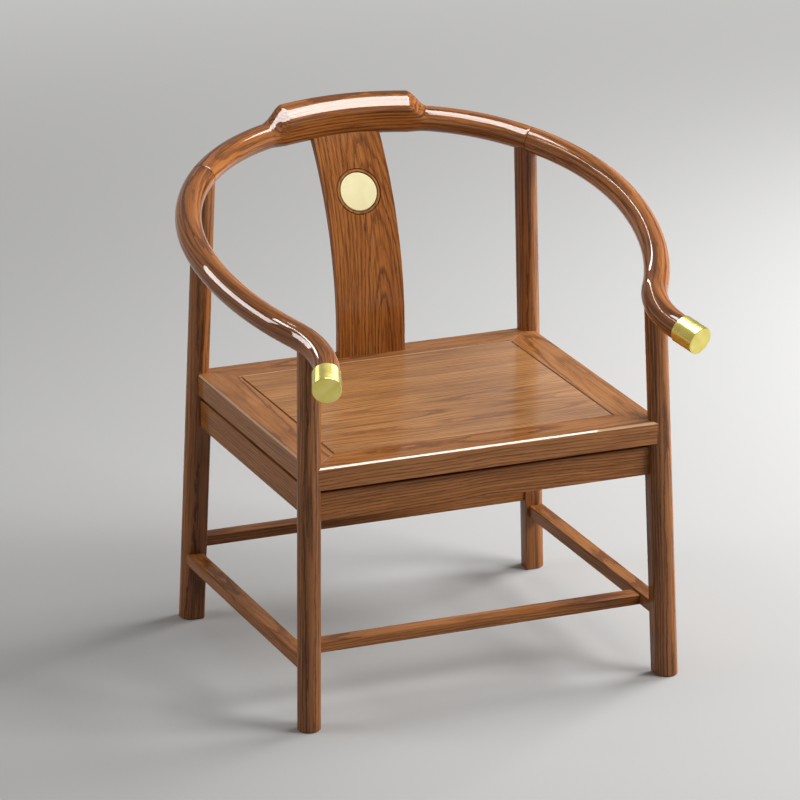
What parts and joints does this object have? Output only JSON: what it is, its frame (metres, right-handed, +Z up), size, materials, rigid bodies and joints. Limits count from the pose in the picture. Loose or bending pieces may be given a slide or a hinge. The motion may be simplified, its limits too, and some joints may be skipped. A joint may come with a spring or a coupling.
{
  "type": "horseshoe back armchair",
  "caption": "Low wooden armchair with a horseshoe rail that is crest and arms in one, brass hand caps, a curved splat with a round inlay and a flat framed seat.",
  "frame": {"origin": "on the floor, under the middle of the chair's overall width and depth", "axes": "+Z up, the sitter faces -Y, +X to the right as seen from the front"},
  "size_m": [0.7356, 0.6956, 0.7823],
  "materials": {
    "rail_wood": "lacquered, clear gloss over a walnut stain, open straight and cathedral grain",
    "leg_wood": "lacquered, clear gloss over a walnut stain, open straight and cathedral grain",
    "frame_wood": "lacquered, clear gloss over a walnut stain, open straight and cathedral grain",
    "panel_wood": "lacquered, clear gloss over a walnut stain, open straight and cathedral grain",
    "apron_wood": "lacquered, clear gloss over a walnut stain, open straight and cathedral grain",
    "stretcher_wood": "lacquered, clear gloss over a walnut stain, open straight and cathedral grain",
    "splat_wood": "lacquered, clear gloss over a walnut stain, open straight and cathedral grain",
    "ring_wood": "lacquered, turned",
    "batten_wood": "planed, unseen below the seat",
    "dowel_wood": "plain turned dowel",
    "cap_brass": "turned and polished, soft sheen",
    "inlay_cream": "pale cream stone-like disc with a soft polish"
  },
  "bodies": {
    "root": {"crest_rail": "rail_wood", "arm_left": "rail_wood", "arm_right": "rail_wood", "lap_dowels": "dowel_wood", "hand_cap_left": "cap_brass", "hand_cap_right": "cap_brass", "leg_front_left": "leg_wood", "leg_front_right": "leg_wood", "leg_rear_left": "leg_wood", "leg_rear_right": "leg_wood", "seat_rail_front": "frame_wood", "seat_rail_rear": "frame_wood", "seat_rail_left": "frame_wood", "seat_rail_right": "frame_wood", "seat_board_1": "panel_wood", "seat_board_2": "panel_wood", "seat_board_3": "panel_wood", "seat_board_4": "panel_wood", "seat_board_5": "panel_wood", "seat_batten_left": "batten_wood", "seat_batten_right": "batten_wood", "apron_front": "apron_wood", "apron_rear": "apron_wood", "apron_left": "apron_wood", "apron_right": "apron_wood", "stretcher_front": "stretcher_wood", "stretcher_rear": "stretcher_wood", "stretcher_left": "stretcher_wood", "stretcher_right": "stretcher_wood", "splat": "splat_wood", "medallion_ring": "ring_wood", "medallion_disc": "inlay_cream"}
  },
  "joints": []
}
